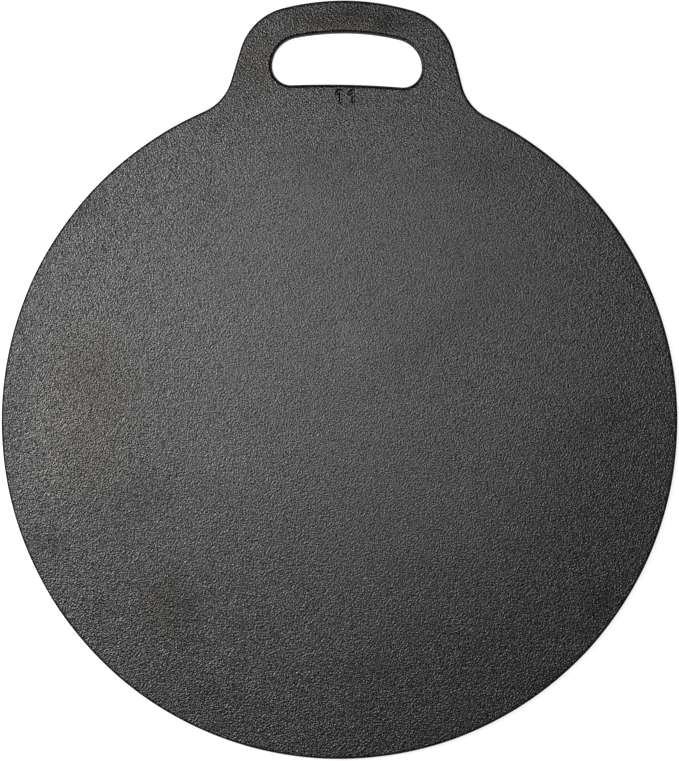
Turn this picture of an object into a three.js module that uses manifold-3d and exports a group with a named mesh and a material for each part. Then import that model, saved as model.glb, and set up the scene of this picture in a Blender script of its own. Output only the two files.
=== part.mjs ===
// A flat round cast-iron griddle with a loop handle, cast in one pour.
//
// Millimetres, +Z up. It lies on its underside with the cooking face up. The origin is the middle of
// the disc, on the underside, and +Y points at the handle. The casting is drawn once, as a loft of
// offset outlines, and is then parted straight across the foot of the neck into the cooking plate and
// the loop handle, which meet face to face.

import * as THREE from "three";
import { mergeVertices } from "three/addons/utils/BufferGeometryUtils.js";
import Module from "manifold-3d";

// Cooking plate
const plateDiameter = 279.4;
const plateThickness = 5;

// Edge of the casting, the same all round the outside and inside the slot
const edgeRadius = 0.85;
const draftAngle = THREE.MathUtils.degToRad(4);

// Loop handle: crown on top, one corner each side, straight leaning sides, hollow neck onto the disc
const handleReach = 34.1;
const crownRadius = 100;
const cornerRadius = 24.5;
const cornerSpacing = 41;
const sideLean = THREE.MathUtils.degToRad(15.6);
const neckRadius = 20;

// Slot in the handle, measured where it is narrowest, at half the thickness
const gripWidth = 13.4;
const slotWidth = 61.7;
const slotHeight = 21.3;
const slotCrownRadius = 101;
const slotSillRadius = 393;
const slotWidestRise = 7.1;

// The parting between plate and handle lies this far inside the rim of the disc, and the block that
// cuts it is larger than the plate by the clearance
const partingDepth = 16;
const blockClearance = 20;

// How far a facet may lie from the true arc, how close two points count as one, and the number of
// facets on each rounded edge
const chordTolerance = 0.02;
const samePoint = 1e-6;
const edgeFacets = 3;

// What the sizes above fix
const RIGHT = 0;
const UP = Math.PI / 2;
const DOWN = -Math.PI / 2;
const plateRadius = plateDiameter / 2;
const handleTop = plateRadius + handleReach;
const slotTop = handleTop - gripWidth;
const slotSill = slotTop - slotHeight;
const slotWidest = slotSill + slotWidestRise;
const partingLine = plateRadius - partingDepth;

// One arc of an outline. It runs from one direction to another, both seen from its centre. The metal
// lies inside a bulging arc, which shrinks when the outline is inset, and outside a hollow one.
function arc(x, y, radius, from, to, hollow = false) {
  return { x, y, radius, from, to, hollow };
}

// The right half of the casting's outline, from the bottom of the disc up to the top of the handle.
// Each arc meets the next one tangentially, and the side of the handle is the straight between two.
function castingArcs() {
  const crownY = handleTop - crownRadius;
  const cornerX = cornerSpacing / 2;
  const cornerY = crownY + Math.sqrt((crownRadius - cornerRadius) ** 2 - cornerX ** 2);
  const cornerEnd = Math.atan2(cornerY - crownY, cornerX);

  // The neck touches the side line from outside, and the disc from outside.
  const normal = { x: Math.cos(sideLean), y: Math.sin(sideLean) };
  const sideDistance = normal.x * cornerX + normal.y * cornerY + cornerRadius;
  const across = sideDistance + neckRadius;
  const along = Math.sqrt((plateRadius + neckRadius) ** 2 - across ** 2);
  const neckX = normal.x * across - normal.y * along;
  const neckY = normal.y * across + normal.x * along;
  const neckStart = Math.atan2(neckY, neckX);

  return [
    arc(0, 0, plateRadius, DOWN, neckStart),
    arc(neckX, neckY, neckRadius, neckStart + Math.PI, sideLean + Math.PI, true),
    arc(cornerX, cornerY, cornerRadius, sideLean, cornerEnd),
    arc(0, crownY, crownRadius, cornerEnd, UP),
  ];
}

// The right half of the slot, from the middle of its sill up to the middle of its top. Its two corner
// arcs meet at the widest height, and their radii follow from touching the sill and the top.
function slotArcs() {
  const half = slotWidth / 2;
  const crownY = slotTop - slotCrownRadius;
  const sillY = slotSill - slotSillRadius;
  const overCrown = slotWidest - crownY;
  const overSill = slotWidest - sillY;
  const upperRadius =
    (slotCrownRadius ** 2 - overCrown ** 2 - half ** 2) / (2 * slotCrownRadius - slotWidth);
  const lowerRadius =
    (half ** 2 + overSill ** 2 - slotSillRadius ** 2) / (2 * slotSillRadius + slotWidth);
  const sillEnd = Math.atan2(overSill, half - lowerRadius);
  const crownStart = Math.atan2(overCrown, half - upperRadius);

  return [
    arc(0, sillY, slotSillRadius, UP, sillEnd),
    arc(half - lowerRadius, slotWidest, lowerRadius, sillEnd - Math.PI, RIGHT, true),
    arc(half - upperRadius, slotWidest, upperRadius, RIGHT, crownStart, true),
    arc(0, crownY, slotCrownRadius, crownStart, UP, true),
  ];
}

// Points along the arcs at one inset into the metal. The number of points doesn't depend on the inset,
// so the rings of a loft match point for point. The left half mirrors the right one.
function ring(arcs, inset) {
  const right = [];
  for (const piece of arcs) {
    const turn = piece.to - piece.from;
    const step = 2 * Math.acos(1 - chordTolerance / piece.radius);
    const facets = Math.ceil(Math.abs(turn) / step);
    const radius = piece.radius + (piece.hollow ? inset : -inset);
    for (let i = 0; i <= facets; i++) {
      const angle = piece.from + (turn * i) / facets;
      const x = piece.x + radius * Math.cos(angle);
      const y = piece.y + radius * Math.sin(angle);
      const previous = right.at(-1);
      if (!previous || Math.hypot(x - previous.x, y - previous.y) > samePoint) {
        right.push(new THREE.Vector2(x, y));
      }
    }
  }
  const left = right.slice(1, -1).reverse();
  return [...right, ...left.map(({ x, y }) => new THREE.Vector2(-x, y))];
}

// The profile of the edge from the underside to the cooking face, as height and inset. A rounded edge
// runs into a wall with draft, which is widest at the parting line of the mould, half way up.
function edgeProfile() {
  const half = plateThickness / 2;
  const centre = (half - edgeRadius) * Math.tan(draftAngle) + edgeRadius / Math.cos(draftAngle);
  const lower = [];
  for (let i = 0; i <= edgeFacets; i++) {
    const angle = DOWN + ((UP - draftAngle) * i) / edgeFacets;
    lower.push({
      z: edgeRadius + edgeRadius * Math.sin(angle),
      inset: centre - edgeRadius * Math.cos(angle),
    });
  }
  const upper = [...lower].reverse().map(({ z, inset }) => ({ z: plateThickness - z, inset }));
  return [...lower, { z: half, inset: 0 }, ...upper];
}

// The whole casting: walls between the rings of the outline and of the slot, and the two flat faces.
function castingGeometry() {
  const profile = edgeProfile();
  const positions = [];
  const indices = [];

  function addWall(arcs, slotSide) {
    const starts = [];
    let count = 0;
    for (const { z, inset } of profile) {
      const points = ring(arcs, inset);
      count = points.length;
      starts.push(positions.length / 3);
      for (const point of points) positions.push(point.x, point.y, z);
    }
    for (let level = 1; level < starts.length; level++) {
      for (let i = 0; i < count; i++) {
        const next = (i + 1) % count;
        const a = starts[level - 1] + i;
        const b = starts[level - 1] + next;
        const c = starts[level] + next;
        const d = starts[level] + i;
        if (slotSide) indices.push(a, c, b, a, d, c);
        else indices.push(a, b, c, a, c, d);
      }
    }
    return { bottom: starts[0], top: starts[starts.length - 1], count };
  }

  const outside = addWall(castingArcs(), false);
  const inside = addWall(slotArcs(), true);
  const faceInset = profile[0].inset;
  const outline = ring(castingArcs(), faceInset);
  const hole = ring(slotArcs(), faceInset);
  const vertexOf = (i, face) => (i < outside.count ? outside[face] + i : inside[face] + i - outside.count);
  for (const [a, b, c] of THREE.ShapeUtils.triangulateShape(outline, [hole])) {
    indices.push(vertexOf(a, "top"), vertexOf(b, "top"), vertexOf(c, "top"));
    indices.push(vertexOf(a, "bottom"), vertexOf(c, "bottom"), vertexOf(b, "bottom"));
  }

  const geometry = new THREE.BufferGeometry();
  geometry.setAttribute("position", new THREE.Float32BufferAttribute(positions, 3));
  geometry.setIndex(indices);
  return geometry;
}

// A block that covers the casting below the parting line, and clears it on every other side
function plateSideBlock() {
  const width = plateDiameter + blockClearance;
  const depth = partingLine + plateRadius + blockClearance;
  const height = plateThickness + blockClearance;
  const block = new THREE.BoxGeometry(width, depth, height);
  block.translate(0, partingLine - depth / 2, plateThickness / 2);
  return block;
}

const wasm = await Module();
wasm.setup();

function toSolid(geometry) {
  const bare = geometry.clone();
  bare.deleteAttribute("normal");
  bare.deleteAttribute("uv");
  const merged = mergeVertices(bare);
  return new wasm.Manifold(
    new wasm.Mesh({
      numProp: 3,
      vertProperties: new Float32Array(merged.attributes.position.array),
      triVerts: new Uint32Array(merged.index.array),
    }),
  );
}

function toGeometry(solid) {
  const mesh = solid.getMesh();
  const geometry = new THREE.BufferGeometry();
  geometry.setAttribute("position", new THREE.BufferAttribute(mesh.vertProperties, 3));
  geometry.setIndex(new THREE.BufferAttribute(mesh.triVerts, 1));
  return geometry;
}

// Bare iron with its baked oil coat: a dark neutral grey with a satin sheen
function seasonedIron(name) {
  return new THREE.MeshStandardMaterial({ name, color: 0x4b4b4a, roughness: 0.55, metalness: 0.35 });
}

function cookingPlate(casting, block) {
  const geometry = toGeometry(casting.intersect(block));
  const mesh = new THREE.Mesh(geometry, seasonedIron("plate_iron"));
  mesh.name = "cooking_plate";
  return mesh;
}

// The handle's own frame has its origin on the parting face, so it can be set against another plate.
function loopHandle(casting, block) {
  const geometry = toGeometry(casting.subtract(block));
  geometry.translate(0, -partingLine, 0);
  const mesh = new THREE.Mesh(geometry, seasonedIron("handle_iron"));
  mesh.name = "loop_handle";
  mesh.position.y = partingLine;
  return mesh;
}

const casting = toSolid(castingGeometry());
const block = toSolid(plateSideBlock());
const griddle = new THREE.Group();
griddle.name = "cast_iron_griddle";
griddle.add(cookingPlate(casting, block));
griddle.add(loopHandle(casting, block));

export default griddle;
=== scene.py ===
# A flat round cast-iron griddle with a loop handle, seasoned black, lying on a white studio sweep.
#
# Metres, in the CAD frame: the origin is the middle of the disc on its underside, +Z is up and +Y points
# at the handle. The outline repeats the CAD's arcs. The plate and the handle each start as a flat pattern
# sheet, which one Geometry Nodes tree turns into the rounded, slightly uneven iron of a sand mould.

import math
from collections import namedtuple

import bmesh
import bpy
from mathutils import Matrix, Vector
from mathutils.geometry import delaunay_2d_cdt
from mathutils.kdtree import KDTree


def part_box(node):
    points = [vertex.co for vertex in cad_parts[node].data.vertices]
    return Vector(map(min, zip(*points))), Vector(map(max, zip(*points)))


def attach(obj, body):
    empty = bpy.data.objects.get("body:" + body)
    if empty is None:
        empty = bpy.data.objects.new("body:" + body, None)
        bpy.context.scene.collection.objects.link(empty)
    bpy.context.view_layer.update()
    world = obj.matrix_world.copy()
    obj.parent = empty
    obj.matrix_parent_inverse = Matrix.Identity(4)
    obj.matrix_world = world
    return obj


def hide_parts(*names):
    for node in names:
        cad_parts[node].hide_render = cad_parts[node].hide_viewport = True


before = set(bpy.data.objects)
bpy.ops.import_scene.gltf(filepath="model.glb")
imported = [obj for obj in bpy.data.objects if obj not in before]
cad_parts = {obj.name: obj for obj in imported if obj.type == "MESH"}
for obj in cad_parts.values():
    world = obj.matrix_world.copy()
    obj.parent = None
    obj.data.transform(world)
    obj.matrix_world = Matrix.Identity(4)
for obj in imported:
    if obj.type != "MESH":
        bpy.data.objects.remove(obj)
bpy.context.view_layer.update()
plate_low, plate_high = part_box("cooking_plate")
handle_low, handle_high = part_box("loop_handle")

MM = 0.001
RIGHT = 0.0
UP = math.pi / 2
DOWN = -math.pi / 2

# Sizes that the frame gives
PLATE_RADIUS = plate_high.x
THICKNESS = plate_high.z
HANDLE_TOP = handle_high.y
SEAM = handle_low.y

# Sizes that repeat the CAD's
DRAFT_ANGLE = math.radians(4)
CROWN_RADIUS = 100 * MM
CORNER_RADIUS = 24.5 * MM
CORNER_SPACING = 41 * MM
SIDE_LEAN = math.radians(15.6)
NECK_RADIUS = 20 * MM
GRIP_WIDTH = 13.4 * MM
SLOT_WIDTH = 61.7 * MM
SLOT_HEIGHT = 21.3 * MM
SLOT_CROWN_RADIUS = 101 * MM
SLOT_SILL_RADIUS = 393 * MM
SLOT_WIDEST_RISE = 7.1 * MM

# The edges are rounded a little fuller than the CAD's. The slot's edge is rounded wider than it is deep,
# and its top hangs a hair lower.
EDGE_RADIUS = 1.25 * MM
SLOT_EDGE_SPREAD = 1.25
SLOT_TOP_SAG = 0.2 * MM

# The inset from the parting line at which the edge's rounding ends, and a larger one for all points of the
# flat face
FILLET_INSET = (THICKNESS / 2 - EDGE_RADIUS) * math.tan(DRAFT_ANGLE) + EDGE_RADIUS / math.cos(DRAFT_ANGLE)
FACE_INSET = 2 * FILLET_INSET

# Fineness of the meshes: the spacing of points on each piece and along the seam, the steps over the
# rounding, how far past it the last rings lie, and the share of the spacing that face points keep clear
PLATE_SPACING = 1.4 * MM
HANDLE_SPACING = 0.62 * MM
SEAM_SPACING = 1.0 * MM
FILLET_STEPS = 7
FACE_RING_STEPS = (0.35 * MM, 0.95 * MM)
CLEAR_SHARE = 0.6

# Points this close count as one, in a pattern sheet and in the finished mesh
SAME_POINT = 1e-7
MERGE_DISTANCE = 1e-6

# A crease sharper than this is shaded sharp, which is only the rim of the seam
SEAM_CREASE = math.radians(50)

# Size numerals, a pair of ones sunk below the slot, each a stem with a flag. The stems are places along X.
NUMERAL_FOOT = 131 * MM
NUMERAL_HEIGHT = 6.4 * MM
NUMERAL_STROKE = 1.6 * MM
NUMERAL_FLANK = 0.6 * MM
NUMERAL_DEPTH = 0.4 * MM
NUMERAL_FLAG_REACH = 1.8 * MM
NUMERAL_FLAG_DROP = 1.5 * MM
NUMERAL_STEMS = (-2.3 * MM, 2.9 * MM)

# Finer mesh round the numerals: the spacing at their strokes and round them, each up to a distance from
# the middle line of a stroke
STROKE_SPACING = 0.16 * MM
STROKE_REACH = 1.1 * MM
NUMERAL_SPACING = 0.34 * MM
NUMERAL_REACH = 2.4 * MM

# Relief of the sand-cast faces: broad unevenness, a softer orange peel and the hand-dressed outline
WAVE_LENGTH = 70 * MM
WAVE_DEPTH = 0.16 * MM
PEEL_LENGTH = 6 * MM
PEEL_DEPTH = 0.03 * MM
DRESSING_LENGTH = 22 * MM
DRESSING_DEPTH = 0.2 * MM
RELIEF_DETAIL = 1.0
RELIEF_ROUGHNESS = 0.5
RELIEF_SEED = 11.0

# The side of the mould: the cope makes the cooking face and the drag the underside
COPE = 1.0
DRAG = -1.0

# Noise runs from 0 to 1 about its middle. The grain's patterns lie about zero, from foot to top, and past
# these the film's colour changes no more.
NOISE_MIDDLE = 0.5
PATTERN_TOP = 0.5
PATTERN_FOOT = -0.5
NO_DETAIL = 0.0

# Grain that the moulding sand leaves: pebbles, single grains and specks. Each has the length of its pattern
# and its share of the film's tone, and the first two have a height. Real sand is about 0.25 mm, finer than
# the photo's 0.41 mm pixels, so the grain is drawn coarser than it is.
PEBBLE_LENGTH = 0.92 * MM
PEBBLE_HEIGHT = 0.045 * MM
PEBBLE_TONE = 0.5
GRAIN_LENGTH = 0.66 * MM
GRAIN_HEIGHT = 0.18 * MM
GRAIN_TONE = 0.85
SPECK_LENGTH = 0.42 * MM
SPECK_TONE = 3.9

# Distance from a Voronoi point that counts as the top and as the foot of a pebble, in cell lengths
PEBBLE_TOP = 0.05
PEBBLE_FOOT = 0.85

# Painted light on the grain: the film is painted paler on the upper left of each grain, where the key light
# comes from, and darker on the rest. Its tone is the pattern shifted by this much, times the share, less the
# pattern itself. That deepens the relief that the bump gives. The turn keeps the grain from lining up with
# the photo's pixels.
PAINTED_LIGHT_SHIFT = (0.24 * MM, -0.18 * MM, 0.0)
PAINTED_LIGHT_SHARE = 1.7
GRAIN_TURN = math.radians(34)

# The grain is calm inside a ring round this point, and lively outside a wider one, as the photo shows it
CALM_MIDDLE = (30 * MM, 50 * MM, THICKNESS)
CALM_RADIUS = 80 * MM
LIVELY_RADIUS = 175 * MM
CALM_GRAIN = 0.84
LIVELY_GRAIN = 1.68

# Iron under baked oil. The colours are the film's, in the creases and in the painted shade of each grain,
# on the grains and where it baked brown.
IRON_METALLIC = 0.75
IRON_ROUGHNESS = 0.37
CREASE_AND_PAINTED_SHADE_COLOUR = "#1c1c1c"
FILM_COLOUR = "#707070"
BROWN_COLOUR = "#74706b"

# Painted shade on the edges: a black line where the face breaks over the edge, and the wall below it painted
# paler again, though darker than the face. The places are heights over the parting line, as shares of half
# the thickness, so 1 is the face. The tones are shares of the face's. The slot's edge has a thinner painted
# black line, a paler wall and a painted dark lip at the parting line.
RIM_STARTS = 0.985
RIM_FULL = 0.91
RIM_TONE = 0.03
WALL_STARTS = 0.72
WALL_FULL = 0.55
WALL_TONE = 0.3
SLOT_RIM_STARTS = 0.999
SLOT_RIM_FULL = 0.975
SLOT_WALL_STARTS = 0.94
SLOT_WALL_FULL = 0.87
SLOT_LIP_STARTS = 0.8
SLOT_LIP_FULL = 0.62
SLOT_LIP_TONE = 0.25

# How dark the flanks of the numerals are, partly dirt and partly painted shade: above 1 the black spreads
# from the middle of a flank. There the product of the share sunk and the share left is a quarter.
FLANK_DARKNESS = 1.7
HALF_WAY_PRODUCT = 0.25

# Borders of the film's patches: the width of the band in which they stray, the length of the strays, and
# the share of a patch's reach inside which it is at full strength
PATCH_STRAY = 10 * MM
PATCH_STRAY_LENGTH = 16 * MM
PATCH_STRAY_DETAIL = 3.0
PATCH_CORE = 0.15

# The photograph: its frame and the disc in it, in pixels, how far it is turned, and how high above the
# griddle the camera hangs and how far it sees
PHOTO_WIDTH = 679
PHOTO_HEIGHT = 761
PHOTO_DISC_X = 339.5
PHOTO_DISC_Y = 421.0
PHOTO_DISC_RADIUS = 337.85
PHOTO_TURN = math.radians(1.2)
CAMERA_HEIGHT = 1.2
CAMERA_SIGHT = 20.0

# Softboxes: size and distance, and for each its azimuth, its angle off the vertical and its power
SOFTBOX_SIZE = 0.3
SOFTBOX_DISTANCE = 0.6
KEY_AZIMUTH = math.radians(168)
KEY_POLAR = math.radians(35)
KEY_POWER = 1.82
HANDLE_AZIMUTH = math.radians(108)
HANDLE_POLAR = math.radians(7)
HANDLE_POWER = 0.74
WHITE = (1.0, 1.0, 1.0, 1.0)
ROOM_STRENGTH = 0.01

# Studio sweep: a matt white paper floor, its cove and its wall, and the gap that it leaves under the griddle
PAPER_COLOUR = "#e6e6e6"
PAPER_ROUGHNESS = 0.9
PAPER_SPECULAR = 0.1
PAPER_FILL = 0.85
PAPER_MIRRORED_FILL = 0.35
FLOOR_RADIUS = 4.0
COVE_RADIUS = 0.6
WALL_HEIGHT = 1.6
FLOOR_GAP = 0.05 * MM
SWEEP_SIDES = 96
COVE_STEPS = 12
SWEEP_MERGE_DISTANCE = 1e-5

# An arc runs round its middle from one direction to another, and the metal lies outside a hollow one
Arc = namedtuple("Arc", "x y radius start end hollow")
Patch = namedtuple("Patch", "x y length width turn strength")


def patch(x, y, length, width, strength, turn=0):
    """A patch of the film: its middle, half length and half width in millimetres, and turn in degrees."""
    return Patch(x * MM, y * MM, length * MM, width * MM, math.radians(turn), strength)


# Where the film is darker by a share, or paler where the share is below zero. The small dark patches follow
# stains in the photo. The five broad ones bring the face to the photo's mean tones where the lamps leave it
# off them, so in large part they are painted light: painted shade at the lower right, the right side, the
# lower left and the top, and a painted highlight down the left rim. The small paler ones are painted
# highlights.
STAIN_AND_PAINTED_LIGHT_PATCHES = (
    # The bow of the handle
    patch(16, 165, 17, 8, 0.26),
    patch(-7, 167, 30, 9, 0.29),
    patch(17, 163, 8, 6, 0.26),
    patch(2, 170, 10, 4, 0.2),
    # The left side of the handle
    patch(-41, 143, 12, 22, 0.16),
    # Broad painted shade, over the whole lower right, where the light falls off
    patch(62, -105, 135, 66, 0.15, turn=32),
    # Smears down the left
    patch(-66, -80, 20, 26, 0.2),
    patch(-84, -33, 24, 14, 0.12, turn=20),
    patch(-101, 17, 26, 19, 0.14, turn=-20),
    patch(-57, 86, 9, 16, 0.14),
    patch(-106, 86, 11, 10, 0.18, turn=50),
    # Smears over the right
    patch(56, 107, 21, 14, 0.14, turn=-20),
    patch(40, 38, 50, 12, 0.12, turn=42),
    patch(107, 1, 40, 11, 0.14, turn=25),
    # A spot at the bottom
    patch(17, -104, 17, 10, 0.12),
    # Broad painted shade, on the right side, at the lower left and at the top
    patch(106, -27, 42, 52, 0.1),
    patch(-48, -118, 34, 16, 0.1, turn=-20),
    patch(-5, 107, 30, 14, 0.08),
    # Broad painted highlight, down the left rim
    patch(-118, -5, 30, 115, -0.08),
    # Spots near the rim
    patch(109, -72, 12, 11, 0.18, turn=50),
    patch(89, -106, 12, 10, 0.22, turn=50),
    patch(-120, -52, 19, 10, 0.14),
    # Painted highlights, above the middle, along the left rim and left of the middle
    patch(4, 32, 10, 18, -0.12),
    patch(-124, -14, 16, 44, -0.16),
    patch(-47, -16, 20, 20, -0.1, turn=20),
)

# Where the film has baked brown: down the left of the plate, then the bow and the left of the handle
BROWN_PATCHES = (
    patch(-105, 2, 38, 68, 0.45),
    patch(-72, -76, 14, 28, 0.6),
    patch(-2, 166, 44, 14, 0.75),
    patch(-36, 146, 14, 20, 0.75),
)


def input_named(node, name):
    """The input in use by that name: a Mix node has one for each data type, and hides the others."""
    return next(socket for socket in node.inputs if socket.name == name and socket.enabled)


def add_node(tree, kind, sockets=None, **settings):
    """Adds a node. Each of its sockets is given a value or is linked from another node's output."""
    node = tree.nodes.new(kind)
    for name, value in settings.items():
        setattr(node, name, value)
    for key, value in (sockets or {}).items():
        socket = node.inputs[key] if isinstance(key, int) else input_named(node, key)
        if isinstance(value, bpy.types.NodeSocket):
            tree.links.new(value, socket)
        else:
            socket.default_value = value
    return node


def linear(hex_colour):
    """An sRGB hex colour as the linear colour that a shader takes, by the sRGB curve."""
    values = [int(hex_colour[i:i + 2], 16) / 255 for i in (1, 3, 5)]
    return [v / 12.92 if v <= 0.04045 else ((v + 0.055) / 1.055) ** 2.4 for v in values] + [1.0]


# Outline

def inset_arc(arc, inset):
    """The same arc moved into the metal."""
    return arc._replace(radius=arc.radius + (inset if arc.hollow else -inset))


def casting_arcs():
    """The right half of the outline: the disc, the neck, the corner and the crown of the handle."""
    crown_y = HANDLE_TOP - CROWN_RADIUS
    corner_x = CORNER_SPACING / 2
    corner_y = crown_y + math.sqrt((CROWN_RADIUS - CORNER_RADIUS) ** 2 - corner_x ** 2)
    corner_end = math.atan2(corner_y - crown_y, corner_x)

    normal_x = math.cos(SIDE_LEAN)
    normal_y = math.sin(SIDE_LEAN)
    across = normal_x * corner_x + normal_y * corner_y + CORNER_RADIUS + NECK_RADIUS
    along = math.sqrt((PLATE_RADIUS + NECK_RADIUS) ** 2 - across ** 2)
    neck_x = normal_x * across - normal_y * along
    neck_y = normal_y * across + normal_x * along
    neck_start = math.atan2(neck_y, neck_x)

    disc = Arc(0.0, 0.0, PLATE_RADIUS, DOWN, neck_start, False)
    neck = Arc(neck_x, neck_y, NECK_RADIUS, neck_start + math.pi, SIDE_LEAN + math.pi, True)
    corner = Arc(corner_x, corner_y, CORNER_RADIUS, SIDE_LEAN, corner_end, False)
    crown = Arc(0.0, crown_y, CROWN_RADIUS, corner_end, UP, False)
    return disc, neck, corner, crown


def seam_angle(disc):
    """Where the disc's arc crosses the seam between plate and handle."""
    return math.asin(SEAM / disc.radius)


def plate_arcs(inset):
    """The right half of the plate's rim, from the bottom up to the seam."""
    disc = inset_arc(casting_arcs()[0], inset)
    return [disc._replace(end=seam_angle(disc))]


def handle_arcs(inset):
    """The right half of the handle's outline, from the seam up to its top."""
    disc, neck, corner, crown = (inset_arc(arc, inset) for arc in casting_arcs())
    return [disc._replace(start=seam_angle(disc)), neck, corner, crown]


def slot_arcs(inset):
    """The right half of the slot, from the middle of its sill to the middle of its top."""
    half = SLOT_WIDTH / 2
    top = HANDLE_TOP - GRIP_WIDTH - SLOT_TOP_SAG
    sill = HANDLE_TOP - GRIP_WIDTH - SLOT_HEIGHT
    widest = sill + SLOT_WIDEST_RISE
    crown_y = top - SLOT_CROWN_RADIUS
    sill_y = sill - SLOT_SILL_RADIUS
    over_crown = widest - crown_y
    over_sill = widest - sill_y
    upper = (SLOT_CROWN_RADIUS ** 2 - over_crown ** 2 - half ** 2) / (2 * SLOT_CROWN_RADIUS - SLOT_WIDTH)
    lower = (half ** 2 + over_sill ** 2 - SLOT_SILL_RADIUS ** 2) / (2 * SLOT_SILL_RADIUS + SLOT_WIDTH)
    sill_end = math.atan2(over_sill, half - lower)
    crown_start = math.atan2(over_crown, half - upper)
    arcs = (
        Arc(0.0, sill_y, SLOT_SILL_RADIUS, UP, sill_end, False),
        Arc(half - lower, widest, lower, sill_end - math.pi, RIGHT, True),
        Arc(half - upper, widest, upper, RIGHT, crown_start, True),
        Arc(0.0, crown_y, SLOT_CROWN_RADIUS, crown_start, UP, True),
    )
    return [inset_arc(arc, inset) for arc in arcs]


def half_edge(arcs_at, inset, spacing):
    """Points along the arcs at one inset. Their number is the same at every inset."""
    points = []
    for drawn, moved in zip(arcs_at(0.0), arcs_at(inset)):
        steps = math.ceil(abs(drawn.end - drawn.start) * drawn.radius / spacing)
        for i in range(steps + 1):
            angle = moved.start + (moved.end - moved.start) * i / steps
            x = moved.x + moved.radius * math.cos(angle)
            y = moved.y + moved.radius * math.sin(angle)
            point = Vector((x, y))
            if not points or (point - points[-1]).length > SAME_POINT:
                points.append(point)
    return points


def mirrored(points):
    """The points on the other side of the middle line, in the opposite order."""
    return [Vector((-p.x, p.y)) for p in reversed(points)]


def plate_edge(inset):
    """From the left end of the seam round the bottom of the disc to its right end."""
    right = half_edge(plate_arcs, inset, PLATE_SPACING)
    return mirrored(right) + right[1:]


def handle_edge(inset):
    """From the right end of the seam over the crown to its left end."""
    right = half_edge(handle_arcs, inset, HANDLE_SPACING)
    return right + mirrored(right)[1:]


def slot_edge(inset):
    """Once round the slot, from the middle of its sill."""
    right = half_edge(slot_arcs, inset * SLOT_EDGE_SPREAD, HANDLE_SPACING)
    return right + mirrored(right)[1:-1]


# Pattern sheets

def ring_insets():
    """The insets of the rings, from the parting line up the wall, over the rounded edge and past it."""
    turn = UP - DRAFT_ANGLE
    fillet = [
        FILLET_INSET - EDGE_RADIUS * math.cos(DRAFT_ANGLE + turn * i / FILLET_STEPS)
        for i in range(FILLET_STEPS + 1)
    ]
    return [0.0] + fillet + [FILLET_INSET + step for step in FACE_RING_STEPS]


class Sheet:
    """A flat mesh of one piece. Each point has its inset, and says whether it is on the slot's edge."""

    def __init__(self):
        self.points = []
        self.insets = []
        self.in_slot = []
        self.faces = []

    def add_point(self, point, inset, in_slot=False):
        self.points.append(point)
        self.insets.append(inset)
        self.in_slot.append(float(in_slot))
        return len(self.points) - 1

    def add_rings(self, edge_at, round_slot):
        """Rings at every inset with quads between them, closed round the slot. Returns the last ring."""
        rings = [[self.add_point(p, inset, round_slot) for p in edge_at(inset)] for inset in ring_insets()]
        for outer, inner in zip(rings, rings[1:]):
            count = len(outer)
            for i in range(count if round_slot else count - 1):
                j = (i + 1) % count
                self.faces.append((outer[i], outer[j], inner[j], inner[i]))
        return rings[-1]

    def add_seam(self, start, end):
        """Points along the seam from one point to another, with both left out."""
        low = self.points[start].x
        high = self.points[end].x
        steps = math.ceil(abs(high - low) / SEAM_SPACING)
        return [
            self.add_point(Vector((low + (high - low) * i / steps, SEAM)), FILLET_INSET)
            for i in range(1, steps)
        ]

    def fill(self, boundary, holes, inner_points):
        """Triangles between the boundary and the holes, through the inner points."""
        loops = [boundary] + holes
        known = [index for loop in loops for index in loop]
        coords = [self.points[index] for index in known] + inner_points
        loop_faces = []
        start = 0
        for loop in loops:
            loop_faces.append(list(range(start, start + len(loop))))
            start += len(loop)
        made, _, triangles, sources, _, origins = delaunay_2d_cdt(coords, [], loop_faces, 0, SAME_POINT)
        index_of = {}
        for i, source in enumerate(sources):
            if source and min(source) < len(known):
                index_of[i] = known[min(source)]
        for triangle, origin in zip(triangles, origins):
            if set(origin) != {0}:
                continue
            for i in triangle:
                if i not in index_of:
                    index_of[i] = self.add_point(made[i], FACE_INSET)
            self.faces.append(tuple(index_of[i] for i in triangle))

    def to_object(self, name):
        """The sheet as an object, with what the casting tree and the iron read at each point."""
        mesh = bpy.data.meshes.new(name)
        mesh.from_pydata([(p.x, p.y, 0.0) for p in self.points], [], self.faces)
        inset = mesh.attributes.new("inset", "FLOAT", "POINT")
        inset.data.foreach_set("value", self.insets)
        slot = mesh.attributes.new("slot", "FLOAT", "POINT")
        slot.data.foreach_set("value", self.in_slot)
        numeral = mesh.attributes.new("numeral", "FLOAT", "POINT")
        numeral.data.foreach_set("value", [numeral_sink(p) for p in self.points])
        seam = mesh.attributes.new("seam", "BOOLEAN", "POINT")
        seam.data.foreach_set("value", [abs(p.y - SEAM) < SAME_POINT for p in self.points])
        piece = bpy.data.objects.new(name, mesh)
        bpy.context.scene.collection.objects.link(piece)
        return piece


def numeral_distance(point):
    """Distance to the middle line of the nearest stroke, a stem or its flag."""
    head = NUMERAL_FOOT + NUMERAL_HEIGHT - NUMERAL_STROKE / 2
    foot = NUMERAL_FOOT + NUMERAL_STROKE / 2
    nearest = math.inf
    for stem in NUMERAL_STEMS:
        top = Vector((stem, head))
        ends = (Vector((stem, foot)), Vector((stem - NUMERAL_FLAG_REACH, head - NUMERAL_FLAG_DROP)))
        for end in ends:
            stroke = end - top
            along = min(1.0, max(0.0, (point - top).dot(stroke) / stroke.length_squared))
            nearest = min(nearest, (point - top - stroke * along).length)
    return nearest


def numeral_sink(point):
    """How far a point is sunk in a numeral: 0 on the face, 1 on the floor of a stroke, smooth between."""
    depth = (NUMERAL_STROKE / 2 - numeral_distance(point)) / NUMERAL_FLANK
    depth = min(1.0, max(0.0, depth))
    return depth * depth * (3 - 2 * depth)


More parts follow.
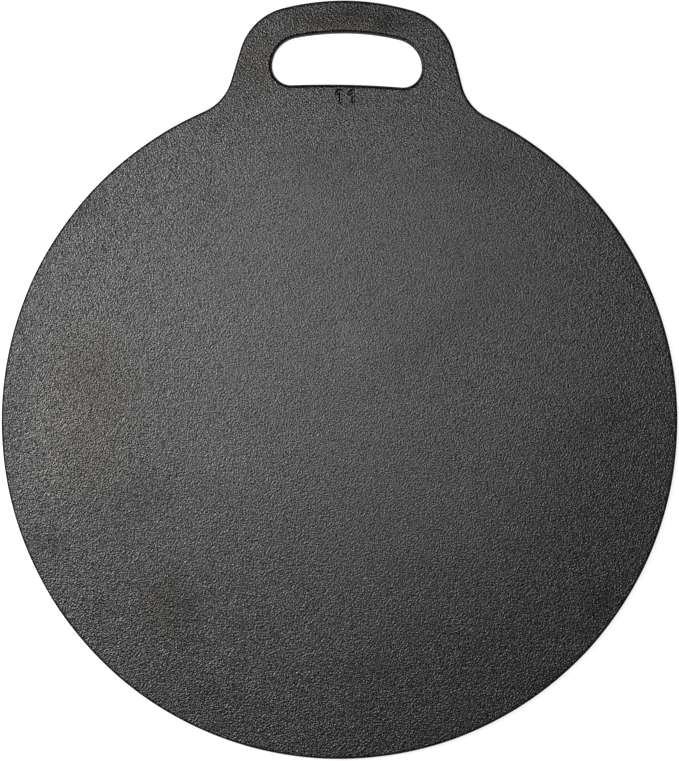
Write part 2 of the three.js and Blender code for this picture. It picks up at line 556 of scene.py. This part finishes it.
def hexagon_points(low, high, spacing):
    """A grid of equal triangles over a rectangle."""
    points = []
    row_height = spacing * math.sqrt(3) / 2
    for row in range(int((high.y - low.y) / row_height) + 1):
        shift = spacing / 2 * (row % 2)
        for column in range(int((high.x - low.x - shift) / spacing) + 1):
            points.append(Vector((low.x + shift + column * spacing, low.y + row * row_height)))
    return points


def points_near_numerals(spacing, nearest, farthest):
    """A grid over the numerals, from one distance to another off their strokes."""
    reach = Vector((NUMERAL_HEIGHT, NUMERAL_HEIGHT))
    middle = Vector((sum(NUMERAL_STEMS) / 2, NUMERAL_FOOT + NUMERAL_HEIGHT / 2))
    grid = hexagon_points(middle - reach, middle + reach, spacing)
    return [p for p in grid if nearest <= numeral_distance(p) < farthest]


def clear_points(candidates, boundary, gap):
    """The candidates that keep a gap to every boundary point."""
    tree = KDTree(len(boundary))
    for i, point in enumerate(boundary):
        tree.insert((point.x, point.y, 0.0), i)
    tree.balance()
    return [p for p in candidates if tree.find((p.x, p.y, 0.0))[2] > gap]


def plate_sheet():
    """The plate's pattern sheet, with even points over its face."""
    sheet = Sheet()
    ring = sheet.add_rings(plate_edge, round_slot=False)
    boundary = ring + sheet.add_seam(ring[-1], ring[0])
    limit = [sheet.points[i] for i in boundary]
    inner = hexagon_points(plate_low, plate_high, PLATE_SPACING)
    sheet.fill(boundary, [], clear_points(inner, limit, PLATE_SPACING * CLEAR_SHARE))
    return sheet


def handle_sheet():
    """The handle's pattern sheet, with its slot, and with finer points round the numerals."""
    sheet = Sheet()
    ring = sheet.add_rings(handle_edge, round_slot=False)
    boundary = ring + sheet.add_seam(ring[-1], ring[0])
    slot = sheet.add_rings(slot_edge, round_slot=True)
    limit = [sheet.points[i] for i in boundary + slot]
    grid = hexagon_points(handle_low, handle_high, HANDLE_SPACING)
    inner = [p for p in grid if numeral_distance(p) > NUMERAL_REACH]
    inner += points_near_numerals(STROKE_SPACING, 0.0, STROKE_REACH)
    inner += points_near_numerals(NUMERAL_SPACING, STROKE_REACH, NUMERAL_REACH)
    sheet.fill(boundary, [slot], clear_points(inner, limit, HANDLE_SPACING * CLEAR_SHARE))
    return sheet


# Casting

CASTING_SIZES = {
    "Thickness": THICKNESS,
    "Edge Radius": EDGE_RADIUS,
    "Draft Angle": DRAFT_ANGLE,
    "Numeral Depth": NUMERAL_DEPTH,
    "Wave Length": WAVE_LENGTH,
    "Wave Depth": WAVE_DEPTH,
    "Peel Length": PEEL_LENGTH,
    "Peel Depth": PEEL_DEPTH,
    "Dressing Length": DRESSING_LENGTH,
    "Dressing Depth": DRESSING_DEPTH,
    "Seed": RELIEF_SEED,
}


def mould_halves(tree, sheet):
    """The sheet as cope and as drag, and the strip that will close them at the seam, each with its side."""
    cope = add_node(
        tree, "GeometryNodeStoreNamedAttribute",
        {"Geometry": sheet, "Name": "side", "Value": COPE},
        data_type="FLOAT", domain="POINT")
    turned = add_node(tree, "GeometryNodeFlipFaces", {"Mesh": sheet}).outputs[0]
    drag = add_node(
        tree, "GeometryNodeStoreNamedAttribute",
        {"Geometry": turned, "Name": "side", "Value": DRAG},
        data_type="FLOAT", domain="POINT")

    on_seam = add_node(
        tree, "GeometryNodeInputNamedAttribute", {"Name": "seam"}, data_type="BOOLEAN").outputs[0]
    off_seam = add_node(tree, "FunctionNodeBooleanMath", {0: on_seam}, operation="NOT").outputs[0]
    seam_line = add_node(
        tree, "GeometryNodeDeleteGeometry", {"Geometry": sheet, "Selection": off_seam},
        domain="EDGE", mode="ALL").outputs[0]
    seam_low = add_node(
        tree, "GeometryNodeStoreNamedAttribute",
        {"Geometry": seam_line, "Name": "side", "Value": DRAG},
        data_type="FLOAT", domain="POINT").outputs[0]
    strip = add_node(
        tree, "GeometryNodeExtrudeMesh", {"Mesh": seam_low, "Offset Scale": 0.0}, mode="EDGES").outputs
    seam_high = add_node(
        tree, "GeometryNodeStoreNamedAttribute",
        {"Geometry": strip["Mesh"], "Selection": strip["Top"], "Name": "side", "Value": COPE},
        data_type="FLOAT", domain="POINT")

    joined = add_node(tree, "GeometryNodeJoinGeometry")
    for part in (cope, drag, seam_high):
        tree.links.new(part.outputs[0], joined.inputs[0])
    return joined.outputs[0]


def edge_rise(tree, given, half):
    """The drawn height over the parting line: up the drafted wall, then round the fillet to the face."""
    inset = add_node(
        tree, "GeometryNodeInputNamedAttribute", {"Name": "inset"}, data_type="FLOAT").outputs[0]
    radius = given["Edge Radius"]
    slope = add_node(
        tree, "ShaderNodeMath", {0: given["Draft Angle"]}, operation="TANGENT").outputs[0]
    cosine = add_node(
        tree, "ShaderNodeMath", {0: given["Draft Angle"]}, operation="COSINE").outputs[0]
    straight = add_node(tree, "ShaderNodeMath", {0: half, 1: radius}, operation="SUBTRACT").outputs[0]
    lean = add_node(tree, "ShaderNodeMath", {0: straight, 1: slope}, operation="MULTIPLY").outputs[0]
    flare = add_node(tree, "ShaderNodeMath", {0: radius, 1: cosine}, operation="DIVIDE").outputs[0]
    centre = add_node(tree, "ShaderNodeMath", {0: lean, 1: flare}, operation="ADD").outputs[0]

    # The fillet is an arc round that centre, and past it the face is flat
    to_centre = add_node(tree, "ShaderNodeMath", {0: centre, 1: inset}, operation="SUBTRACT").outputs[0]
    outward = add_node(tree, "ShaderNodeMath", {0: to_centre, 1: 0.0}, operation="MAXIMUM").outputs[0]
    reach = add_node(tree, "ShaderNodeMath", {0: outward, 1: radius}, operation="MINIMUM").outputs[0]
    reach_squared = add_node(tree, "ShaderNodeMath", {0: reach, 1: reach}, operation="MULTIPLY").outputs[0]
    radius_squared = add_node(
        tree, "ShaderNodeMath", {0: radius, 1: radius}, operation="MULTIPLY").outputs[0]
    rest = add_node(
        tree, "ShaderNodeMath", {0: radius_squared, 1: reach_squared}, operation="SUBTRACT").outputs[0]
    over = add_node(tree, "ShaderNodeMath", {0: rest}, operation="SQRT").outputs[0]
    fillet = add_node(tree, "ShaderNodeMath", {0: straight, 1: over}, operation="ADD").outputs[0]
    wall = add_node(tree, "ShaderNodeMath", {0: inset, 1: slope}, operation="DIVIDE").outputs[0]
    return add_node(tree, "ShaderNodeMath", {0: fillet, 1: wall}, operation="MINIMUM").outputs[0]


def relief_depth(tree, given, place, side):
    """How far the unevenness and the orange peel sink the surface, differently above and below."""
    seeded = add_node(
        tree, "ShaderNodeMath", {0: given["Seed"], 1: side}, operation="ADD").outputs[0]
    depths = []
    for kind in ("Wave", "Peel"):
        scale = add_node(
            tree, "ShaderNodeMath", {0: 1.0, 1: given[kind + " Length"]}, operation="DIVIDE").outputs[0]
        noise = add_node(
            tree, "ShaderNodeTexNoise",
            {"Vector": place, "W": seeded, "Scale": scale,
             "Detail": RELIEF_DETAIL, "Roughness": RELIEF_ROUGHNESS},
            noise_dimensions="4D").outputs[0]
        depth = add_node(
            tree, "ShaderNodeMath", {0: noise, 1: given[kind + " Depth"]}, operation="MULTIPLY").outputs[0]
        depths.append(depth)
    return add_node(tree, "ShaderNodeMath", {0: depths[0], 1: depths[1]}, operation="ADD").outputs[0]


def with_numerals(tree, given, side, relief):
    """The relief and the depth of the numerals, which are sunk into the cooking face alone."""
    numeral = add_node(
        tree, "GeometryNodeInputNamedAttribute", {"Name": "numeral"}, data_type="FLOAT").outputs[0]
    on_top = add_node(tree, "ShaderNodeMath", {0: side, 1: 0.0}, operation="MAXIMUM").outputs[0]
    carved = add_node(tree, "ShaderNodeMath", {0: numeral, 1: on_top}, operation="MULTIPLY").outputs[0]
    return add_node(
        tree, "ShaderNodeMath", {0: carved, 1: given["Numeral Depth"], 2: relief},
        operation="MULTIPLY_ADD").outputs[0]


def dressed_offset(tree, given, place, level):
    """Lifts a point to its level, and lets the outline wander a little, as hand dressing leaves it."""
    scale = add_node(
        tree, "ShaderNodeMath", {0: 1.0, 1: given["Dressing Length"]}, operation="DIVIDE").outputs[0]
    drift = add_node(
        tree, "ShaderNodeTexNoise",
        {"Vector": place, "W": given["Seed"], "Scale": scale, "Detail": NO_DETAIL},
        noise_dimensions="4D").outputs["Color"]
    centred = add_node(
        tree, "ShaderNodeVectorMath", {0: drift, 1: (NOISE_MIDDLE,) * 3}, operation="SUBTRACT").outputs[0]
    dressing = add_node(
        tree, "ShaderNodeVectorMath", {0: centred, "Scale": given["Dressing Depth"]},
        operation="SCALE").outputs[0]
    planar = add_node(tree, "ShaderNodeSeparateXYZ", {0: dressing}).outputs
    return add_node(
        tree, "ShaderNodeCombineXYZ", {"X": planar["X"], "Y": planar["Y"], "Z": level}).outputs[0]


def casting_tree():
    """Raises a pattern sheet into both halves of the mould, joins them and gives them their relief."""
    tree = bpy.data.node_groups.new("sand_casting", "GeometryNodeTree")
    sockets = tree.interface
    sockets.new_socket("Pattern Sheet", in_out="INPUT", socket_type="NodeSocketGeometry")
    for name in CASTING_SIZES:
        sockets.new_socket(name, in_out="INPUT", socket_type="NodeSocketFloat")
    sockets.new_socket("Iron", in_out="INPUT", socket_type="NodeSocketMaterial")
    sockets.new_socket("Casting", in_out="OUTPUT", socket_type="NodeSocketGeometry")
    given = add_node(tree, "NodeGroupInput").outputs

    halves = mould_halves(tree, given["Pattern Sheet"])
    place = add_node(tree, "GeometryNodeInputPosition").outputs[0]
    side = add_node(
        tree, "GeometryNodeInputNamedAttribute", {"Name": "side"}, data_type="FLOAT").outputs[0]
    half = add_node(
        tree, "ShaderNodeMath", {0: given["Thickness"], 1: 0.5}, operation="MULTIPLY").outputs[0]

    # The relief is always sunk below the drawn face, and fades out towards the parting line
    rise = edge_rise(tree, given, half)
    relief = relief_depth(tree, given, place, side)
    sunk = with_numerals(tree, given, side, relief)
    share = add_node(tree, "ShaderNodeMath", {0: rise, 1: half}, operation="DIVIDE").outputs[0]
    lowered = add_node(tree, "ShaderNodeMath", {0: sunk, 1: share}, operation="MULTIPLY").outputs[0]
    height = add_node(tree, "ShaderNodeMath", {0: rise, 1: lowered}, operation="SUBTRACT").outputs[0]
    level = add_node(
        tree, "ShaderNodeMath", {0: height, 1: side, 2: half}, operation="MULTIPLY_ADD").outputs[0]
    raised = add_node(
        tree, "GeometryNodeSetPosition",
        {"Geometry": halves, "Offset": dressed_offset(tree, given, place, level)}).outputs[0]

    # The iron reads how far up the edge a point is
    marked = add_node(
        tree, "GeometryNodeStoreNamedAttribute", {"Geometry": raised, "Name": "edge", "Value": share},
        data_type="FLOAT", domain="POINT").outputs[0]
    merged = add_node(
        tree, "GeometryNodeMergeByDistance", {"Geometry": marked, "Distance": MERGE_DISTANCE}).outputs[0]
    smooth = add_node(
        tree, "GeometryNodeSetShadeSmooth", {"Geometry": merged, "Shade Smooth": True},
        domain="FACE").outputs[0]
    real = add_node(tree, "GeometryNodeRealizeInstances", {0: smooth}).outputs[0]
    coated = add_node(
        tree, "GeometryNodeSetMaterial", {"Geometry": real, "Material": given["Iron"]}).outputs[0]
    add_node(tree, "NodeGroupOutput", {0: coated})
    return tree


def cast(piece, tree, iron):
    """Runs the casting tree on a pattern sheet and leaves a plain closed mesh."""
    modifier = piece.modifiers.new("casting", "NODES")
    modifier.node_group = tree
    values = {**CASTING_SIZES, "Iron": iron}
    for socket in tree.interface.items_tree:
        if socket.name in values:
            modifier[socket.identifier] = values[socket.name]
    evaluated = piece.evaluated_get(bpy.context.evaluated_depsgraph_get())
    mesh = bpy.data.meshes.new_from_object(evaluated)
    piece.modifiers.clear()
    piece.data = mesh
    while mesh.materials[0] is None:
        mesh.materials.pop(index=0)
    face_outwards(mesh)
    return piece


def face_outwards(mesh):
    """Turns all faces outwards and creases the seam, so that the face shades flat up to it."""
    shape = bmesh.new()
    shape.from_mesh(mesh)
    bmesh.ops.recalc_face_normals(shape, faces=shape.faces)
    for edge in shape.edges:
        if len(edge.link_faces) == 2 and edge.calc_face_angle() > SEAM_CREASE:
            edge.smooth = False
    shape.to_mesh(mesh)
    shape.free()


# Seasoned iron

def weighted_sum(tree, parts):
    """The sum of outputs, each times its weight."""
    total = 0.0
    for value, weight in parts:
        total = add_node(
            tree, "ShaderNodeMath", {0: value, 1: weight, 2: total}, operation="MULTIPLY_ADD").outputs[0]
    return total


def pebble_pattern(tree, where):
    """Close-set domes, high on top and low in the creases between them."""
    distance = add_node(
        tree, "ShaderNodeTexVoronoi", {"Vector": where, "Scale": 1 / PEBBLE_LENGTH}).outputs["Distance"]
    return add_node(
        tree, "ShaderNodeMapRange",
        {"Value": distance, "From Min": PEBBLE_TOP, "From Max": PEBBLE_FOOT,
         "To Min": PATTERN_TOP, "To Max": PATTERN_FOOT}).outputs[0]


def grain_pattern(tree, where, length):
    """Grains of one size, about zero."""
    noise = add_node(
        tree, "ShaderNodeTexNoise",
        {"Vector": where, "Scale": 1 / length, "Detail": NO_DETAIL}).outputs[0]
    return add_node(
        tree, "ShaderNodeMath", {0: noise, 1: NOISE_MIDDLE}, operation="SUBTRACT").outputs[0]


def sand_grain(tree, where):
    """The height of the grain, and its tone with painted light, both calmer near the middle."""
    turn = {"Location": (0.0, 0.0, -THICKNESS), "Rotation": (0.0, 0.0, GRAIN_TURN)}
    here = add_node(tree, "ShaderNodeMapping", {"Vector": where, **turn}).outputs[0]
    beside = add_node(tree, "ShaderNodeVectorMath", {0: where, 1: PAINTED_LIGHT_SHIFT}, operation="ADD").outputs[0]
    shifted = add_node(tree, "ShaderNodeMapping", {"Vector": beside, **turn}).outputs[0]
    pebbles = pebble_pattern(tree, here)
    grains = grain_pattern(tree, here, GRAIN_LENGTH)
    painted_light_grains = grain_pattern(tree, shifted, GRAIN_LENGTH)
    specks = grain_pattern(tree, here, SPECK_LENGTH)
    painted_light_specks = grain_pattern(tree, shifted, SPECK_LENGTH)
    heights = weighted_sum(tree, (
        (pebbles, PEBBLE_HEIGHT),
        (grains, GRAIN_HEIGHT),
    ))
    # The tone is the grain's own and painted light: each grain paler on its upper left, darker on the rest
    grain_tones_and_painted_light = weighted_sum(tree, (
        (pebbles, PEBBLE_TONE),
        (painted_light_grains, GRAIN_TONE * PAINTED_LIGHT_SHARE),
        (grains, -GRAIN_TONE),
        (painted_light_specks, SPECK_TONE * PAINTED_LIGHT_SHARE),
        (specks, -SPECK_TONE),
    ))
    away = add_node(
        tree, "ShaderNodeVectorMath", {0: where, 1: CALM_MIDDLE}, operation="DISTANCE").outputs["Value"]
    strength = add_node(
        tree, "ShaderNodeMapRange",
        {"Value": away, "From Min": CALM_RADIUS, "From Max": LIVELY_RADIUS,
         "To Min": CALM_GRAIN, "To Max": LIVELY_GRAIN}).outputs[0]
    height = add_node(tree, "ShaderNodeMath", {0: heights, 1: strength}, operation="MULTIPLY").outputs[0]
    tone = add_node(tree, "ShaderNodeMath", {0: grain_tones_and_painted_light, 1: strength}, operation="MULTIPLY").outputs[0]
    return height, tone


def patch_sum(tree, where, patches):
    """How strongly the patches cover a point of the cooking face, with ragged borders."""
    noise = add_node(
        tree, "ShaderNodeTexNoise",
        {"Vector": where, "Scale": 1 / PATCH_STRAY_LENGTH, "Detail": PATCH_STRAY_DETAIL}).outputs["Color"]
    drift = add_node(
        tree, "ShaderNodeVectorMath", {0: noise, 1: (NOISE_MIDDLE,) * 3}, operation="SUBTRACT").outputs[0]
    ragged = add_node(
        tree, "ShaderNodeVectorMath", {0: drift, 1: (PATCH_STRAY, PATCH_STRAY, 0.0), 2: where},
        operation="MULTIPLY_ADD").outputs[0]
    covers = []
    for spot in patches:
        local = add_node(
            tree, "ShaderNodeMapping",
            {"Vector": ragged, "Location": (spot.x, spot.y, THICKNESS),
             "Rotation": (0.0, 0.0, spot.turn), "Scale": (spot.length, spot.width, THICKNESS)},
            vector_type="TEXTURE").outputs[0]
        away = add_node(tree, "ShaderNodeVectorMath", {0: local}, operation="LENGTH").outputs["Value"]
        cover = add_node(
            tree, "ShaderNodeMapRange", {"Value": away, "From Min": 1.0, "From Max": PATCH_CORE},
            interpolation_type="SMOOTHSTEP").outputs[0]
        covers.append((cover, spot.strength))
    return weighted_sum(tree, covers)


def film_colour(tree, where, tone):
    """Black in creases and painted grain shade, charcoal on the grains, here and there baked brown."""
    film = add_node(
        tree, "ShaderNodeMapRange",
        {"Value": tone, "From Min": PATTERN_FOOT, "From Max": PATTERN_TOP}).outputs[0]
    top = add_node(
        tree, "ShaderNodeMix",
        {"Factor": patch_sum(tree, where, BROWN_PATCHES),
         "A": linear(FILM_COLOUR), "B": linear(BROWN_COLOUR)},
        data_type="RGBA").outputs["Result"]
    return add_node(
        tree, "ShaderNodeMix", {"Factor": film, "A": linear(CREASE_AND_PAINTED_SHADE_COLOUR), "B": top},
        data_type="RGBA").outputs["Result"]


def painted_edge_shade(tree):
    """Painted shade on the edges as shares of the face's tone: black at the rim, paler on the wall below."""
    edge = add_node(tree, "ShaderNodeAttribute", attribute_name="edge").outputs["Fac"]
    in_slot = add_node(tree, "ShaderNodeAttribute", attribute_name="slot").outputs["Fac"]
    rim_starts = add_node(
        tree, "ShaderNodeMath", {0: in_slot, 1: SLOT_RIM_STARTS - RIM_STARTS, 2: RIM_STARTS},
        operation="MULTIPLY_ADD").outputs[0]
    rim_full = add_node(
        tree, "ShaderNodeMath", {0: in_slot, 1: SLOT_RIM_FULL - RIM_FULL, 2: RIM_FULL},
        operation="MULTIPLY_ADD").outputs[0]
    rim = add_node(
        tree, "ShaderNodeMapRange",
        {"Value": edge, "From Min": rim_full, "From Max": rim_starts, "To Min": RIM_TONE, "To Max": 1.0},
        interpolation_type="SMOOTHSTEP").outputs[0]
    wall = add_node(
        tree, "ShaderNodeMapRange",
        {"Value": edge, "From Min": WALL_STARTS, "From Max": WALL_FULL, "To Max": WALL_TONE}).outputs[0]
    lip = add_node(
        tree, "ShaderNodeMapRange",
        {"Value": edge, "From Min": SLOT_LIP_FULL, "From Max": SLOT_LIP_STARTS,
         "To Min": SLOT_LIP_TONE}).outputs[0]
    slot_tone = add_node(tree, "ShaderNodeMath", {0: in_slot, 1: lip}, operation="MULTIPLY").outputs[0]
    slot_wall = add_node(
        tree, "ShaderNodeMapRange",
        {"Value": edge, "From Min": SLOT_WALL_STARTS, "From Max": SLOT_WALL_FULL, "To Max": slot_tone},
        interpolation_type="SMOOTHSTEP").outputs[0]
    walls = add_node(tree, "ShaderNodeMath", {0: wall, 1: slot_wall}, operation="MAXIMUM").outputs[0]
    return add_node(tree, "ShaderNodeMath", {0: rim, 1: walls}, operation="MAXIMUM").outputs[0]


def numeral_dirt_and_shade(tree):
    """Share of the face's tone in the numerals: flanks black with dirt and painted shade, floor the face's.
    """
    numeral = add_node(tree, "ShaderNodeAttribute", attribute_name="numeral").outputs["Fac"]
    left = add_node(tree, "ShaderNodeMath", {0: 1.0, 1: numeral}, operation="SUBTRACT").outputs[0]
    flank = add_node(tree, "ShaderNodeMath", {0: numeral, 1: left}, operation="MULTIPLY").outputs[0]
    return add_node(
        tree, "ShaderNodeMath", {0: flank, 1: -FLANK_DARKNESS / HALF_WAY_PRODUCT, 2: 1.0},
        operation="MULTIPLY_ADD", use_clamp=True).outputs[0]


def seasoned_iron():
    """Grey iron cast in green sand, under baked oil: charcoal, satin, pebbled by the grains of the sand."""
    material = bpy.data.materials.new("seasoned_sand_cast_iron")
    material.use_nodes = True
    tree = material.node_tree
    shader = tree.nodes["Principled BSDF"]
    shader.inputs["Metallic"].default_value = IRON_METALLIC
    shader.inputs["Roughness"].default_value = IRON_ROUGHNESS
    where = add_node(tree, "ShaderNodeTexCoord").outputs["Object"]
    height, tone = sand_grain(tree, where)
    bump = add_node(tree, "ShaderNodeBump", {"Height": height, "Strength": 1.0, "Distance": 1.0})
    tree.links.new(bump.outputs[0], shader.inputs["Normal"])

    # The film, with painted shade on the edges and in the numerals, and its patches of stains and painted
    # light
    colour = film_colour(tree, where, tone)
    on_edge = add_node(
        tree, "ShaderNodeMath", {0: painted_edge_shade(tree), 1: numeral_dirt_and_shade(tree)}, operation="MULTIPLY").outputs[0]
    stain_and_painted_light = patch_sum(tree, where, STAIN_AND_PAINTED_LIGHT_PATCHES)
    film_share_left = add_node(tree, "ShaderNodeMath", {0: 1.0, 1: stain_and_painted_light}, operation="SUBTRACT").outputs[0]
    shade = add_node(tree, "ShaderNodeMath", {0: on_edge, 1: film_share_left}, operation="MULTIPLY").outputs[0]
    shaded = add_node(
        tree, "ShaderNodeVectorMath", {0: colour, "Scale": shade}, operation="SCALE").outputs[0]
    tree.links.new(shaded, shader.inputs["Base Color"])
    return material


# Studio

def studio_paper():
    """Matt white paper, evenly lit: a fill shown to the camera, mirrors and glass lifts it to white."""
    material = bpy.data.materials.new("white_studio_paper")
    material.use_nodes = True
    tree = material.node_tree
    shader = tree.nodes["Principled BSDF"]
    shader.inputs["Base Color"].default_value = linear(PAPER_COLOUR)
    shader.inputs["Roughness"].default_value = PAPER_ROUGHNESS
    shader.inputs["Specular IOR Level"].default_value = PAPER_SPECULAR
    shader.inputs["Emission Color"].default_value = WHITE
    rays = add_node(tree, "ShaderNodeLightPath").outputs
    mirrored_in = add_node(
        tree, "ShaderNodeMath", {0: rays["Is Glossy Ray"], 1: rays["Is Transmission Ray"]},
        operation="MAXIMUM").outputs[0]
    fill = weighted_sum(tree, (
        (rays["Is Camera Ray"], PAPER_FILL),
        (mirrored_in, PAPER_MIRRORED_FILL),
    ))
    tree.links.new(fill, shader.inputs["Emission Strength"])
    return material


def add_sweep():
    """A round floor that curves up into a low wall, just below the griddle's resting plane."""
    profile = [(0.0, 0.0)]
    for i in range(COVE_STEPS + 1):
        angle = DOWN + UP * i / COVE_STEPS
        profile.append((
            FLOOR_RADIUS + COVE_RADIUS * math.cos(angle),
            COVE_RADIUS + COVE_RADIUS * math.sin(angle),
        ))
    profile.append((FLOOR_RADIUS + COVE_RADIUS, WALL_HEIGHT))
    shape = bmesh.new()
    points = [shape.verts.new((radius, 0.0, height - FLOOR_GAP)) for radius, height in profile]
    edges = [shape.edges.new(pair) for pair in zip(points, points[1:])]
    bmesh.ops.spin(
        shape, geom=points + edges, cent=(0, 0, 0), axis=(0, 0, 1), angle=2 * math.pi,
        steps=SWEEP_SIDES, use_merge=True)
    bmesh.ops.remove_doubles(shape, verts=shape.verts, dist=SWEEP_MERGE_DISTANCE)
    bmesh.ops.recalc_face_normals(shape, faces=shape.faces)
    mesh = bpy.data.meshes.new("studio_sweep")
    shape.to_mesh(mesh)
    shape.free()
    mesh.shade_smooth()
    mesh.materials.append(studio_paper())
    sweep = bpy.data.objects.new("studio_sweep", mesh)
    bpy.context.scene.collection.objects.link(sweep)


def add_camera():
    """Straight above, at the photograph's scale and turn, from the height that its perspective shows."""
    metres_per_pixel = PLATE_RADIUS / PHOTO_DISC_RADIUS
    right = (PHOTO_WIDTH / 2 - PHOTO_DISC_X) * metres_per_pixel
    up = (PHOTO_DISC_Y - PHOTO_HEIGHT / 2) * metres_per_pixel
    data = bpy.data.cameras.new("camera")
    data.lens = data.sensor_width * CAMERA_HEIGHT / (PHOTO_HEIGHT * metres_per_pixel)
    data.clip_end = CAMERA_SIGHT
    camera = bpy.data.objects.new("camera", data)
    camera.location = (
        right * math.cos(PHOTO_TURN) - up * math.sin(PHOTO_TURN),
        right * math.sin(PHOTO_TURN) + up * math.cos(PHOTO_TURN),
        THICKNESS / 2 + CAMERA_HEIGHT,
    )
    camera.rotation_euler = (0, 0, PHOTO_TURN)
    bpy.context.scene.collection.objects.link(camera)
    bpy.context.scene.camera = camera


def add_softbox(name, azimuth, polar, power):
    """A square softbox that faces the disc from an azimuth and an angle off the vertical."""
    data = bpy.data.lights.new(name, "AREA")
    data.size = SOFTBOX_SIZE
    data.energy = power
    lamp = bpy.data.objects.new(name, data)
    lamp.rotation_euler = (0.0, polar, azimuth)
    lamp.location = lamp.rotation_euler.to_matrix() @ Vector((0.0, 0.0, SOFTBOX_DISTANCE))
    lamp.visible_camera = False
    bpy.context.scene.collection.objects.link(lamp)


def light_studio():
    """A key light from the left, a weaker one almost overhead for the handle's side, and a dim room."""
    add_softbox("key_softbox", KEY_AZIMUTH, KEY_POLAR, KEY_POWER)
    add_softbox("handle_softbox", HANDLE_AZIMUTH, HANDLE_POLAR, HANDLE_POWER)
    room = bpy.data.worlds.new("studio")
    room.use_nodes = True
    light = room.node_tree.nodes["Background"].inputs
    light["Color"].default_value = WHITE
    light["Strength"].default_value = ROOM_STRENGTH
    bpy.context.scene.world = room


bpy.context.scene.view_settings.view_transform = "Standard"
add_camera()
iron = seasoned_iron()
tree = casting_tree()
for name, sheet, node in (
    ("plate_casting", plate_sheet(), "cooking_plate"),
    ("handle_casting", handle_sheet(), "loop_handle"),
):
    piece = cast(sheet.to_object(name), tree, iron)
    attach(piece, "root")
    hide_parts(node)
add_sweep()
light_studio()
